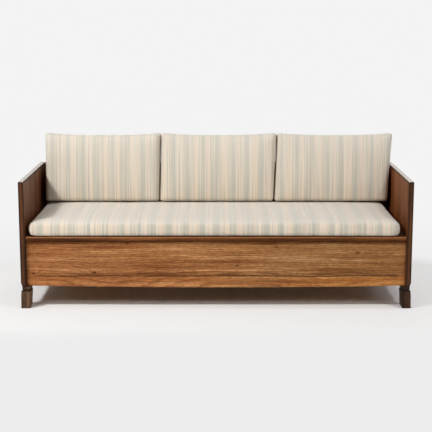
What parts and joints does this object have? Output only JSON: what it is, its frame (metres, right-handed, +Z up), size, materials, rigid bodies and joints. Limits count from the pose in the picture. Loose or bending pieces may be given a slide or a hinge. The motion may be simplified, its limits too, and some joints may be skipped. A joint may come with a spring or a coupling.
{
  "type": "settle sofa",
  "caption": "Long plank-ended wooden settle sofa on small cut feet, with a deep pull-out bedding box, lift-off seat boards, a striped seat mattress and loose back cushions.",
  "frame": {"origin": "on the floor under the middle of the sofa", "axes": "+X to the right end as seen from the front, +Y to the back, +Z up"},
  "size_m": [2.013, 0.76, 0.8387],
  "materials": {
    "end_wood": "satin",
    "front_wood": "satin",
    "inner_wood": "matte",
    "foot_wood": "satin",
    "dowel_wood": "matte",
    "fastener_steel": "satin",
    "stripe_cloth": "matte",
    "stuffing": "matte"
  },
  "bodies": {
    "frame": {"left_end_panel": "end_wood", "left_front_foot": "foot_wood", "left_rear_foot": "foot_wood", "left_seat_cleat": "inner_wood", "left_seat_bearer": "inner_wood", "left_stop_block": "inner_wood", "left_runner": "inner_wood", "right_end_panel": "end_wood", "right_front_foot": "foot_wood", "right_rear_foot": "foot_wood", "right_seat_cleat": "inner_wood", "right_seat_bearer": "inner_wood", "right_stop_block": "inner_wood", "right_runner": "inner_wood", "back_board_1": "inner_wood", "back_board_2": "inner_wood", "back_board_3": "inner_wood", "back_board_4": "inner_wood", "back_batten": "inner_wood", "front_rail": "inner_wood", "rear_rail": "inner_wood", "front_stretcher": "inner_wood", "rear_stretcher": "inner_wood", "foot_dowels": "dowel_wood", "rail_dowels": "dowel_wood", "runner_screws": "fastener_steel", "cleat_screws": "fastener_steel", "back_nails": "fastener_steel"},
    "pull_out_box": {"box_front": "front_wood", "box_left_side": "inner_wood", "box_right_side": "inner_wood", "box_back": "inner_wood", "box_bottom_board_1": "inner_wood", "box_bottom_board_2": "inner_wood", "box_bottom_board_3": "inner_wood", "box_bottom_board_4": "inner_wood", "box_left_batten": "inner_wood", "box_centre_batten": "inner_wood", "box_right_batten": "inner_wood", "box_dowels": "dowel_wood", "box_nails": "fastener_steel"},
    "seat_lid": {"seat_board_1": "front_wood", "seat_board_2": "inner_wood", "seat_board_3": "inner_wood", "seat_board_4": "inner_wood", "lid_left_batten": "inner_wood", "lid_centre_batten": "inner_wood", "lid_right_batten": "inner_wood", "lid_screws": "fastener_steel"},
    "seat_cushion": {"seat_cushion_cover": "stripe_cloth", "seat_cushion_core": "stuffing"},
    "back_cushion_left": {"back_cushion_left_cover": "stripe_cloth", "back_cushion_left_core": "stuffing"},
    "back_cushion_centre": {"back_cushion_centre_cover": "stripe_cloth", "back_cushion_centre_core": "stuffing"},
    "back_cushion_right": {"back_cushion_right_cover": "stripe_cloth", "back_cushion_right_core": "stuffing"}
  },
  "joints": [
    {"name": "box_slide", "type": "slide", "parent": "frame", "child": "pull_out_box", "axis": [0, -1, 0], "range_m": [0, 0.4]},
    {"name": "lid_lift", "type": "slide", "parent": "frame", "child": "seat_lid", "axis": [0, 0, 1], "range_m": [0, 0.35]},
    {"name": "seat_cushion_lift", "type": "slide", "parent": "seat_lid", "child": "seat_cushion", "axis": [0, 0, 1], "range_m": [0, 0.3]},
    {"name": "back_cushion_left_lift", "type": "slide", "parent": "seat_cushion", "child": "back_cushion_left", "axis": [0.0118, 0, 0.9999], "range_m": [0, 0.25]},
    {"name": "back_cushion_centre_lift", "type": "slide", "parent": "seat_cushion", "child": "back_cushion_centre", "axis": [0.0352, 0, 0.9994], "range_m": [0, 0.25]},
    {"name": "back_cushion_right_lift", "type": "slide", "parent": "seat_cushion", "child": "back_cushion_right", "axis": [0.0587, 0, 0.9983], "range_m": [0, 0.25]}
  ]
}
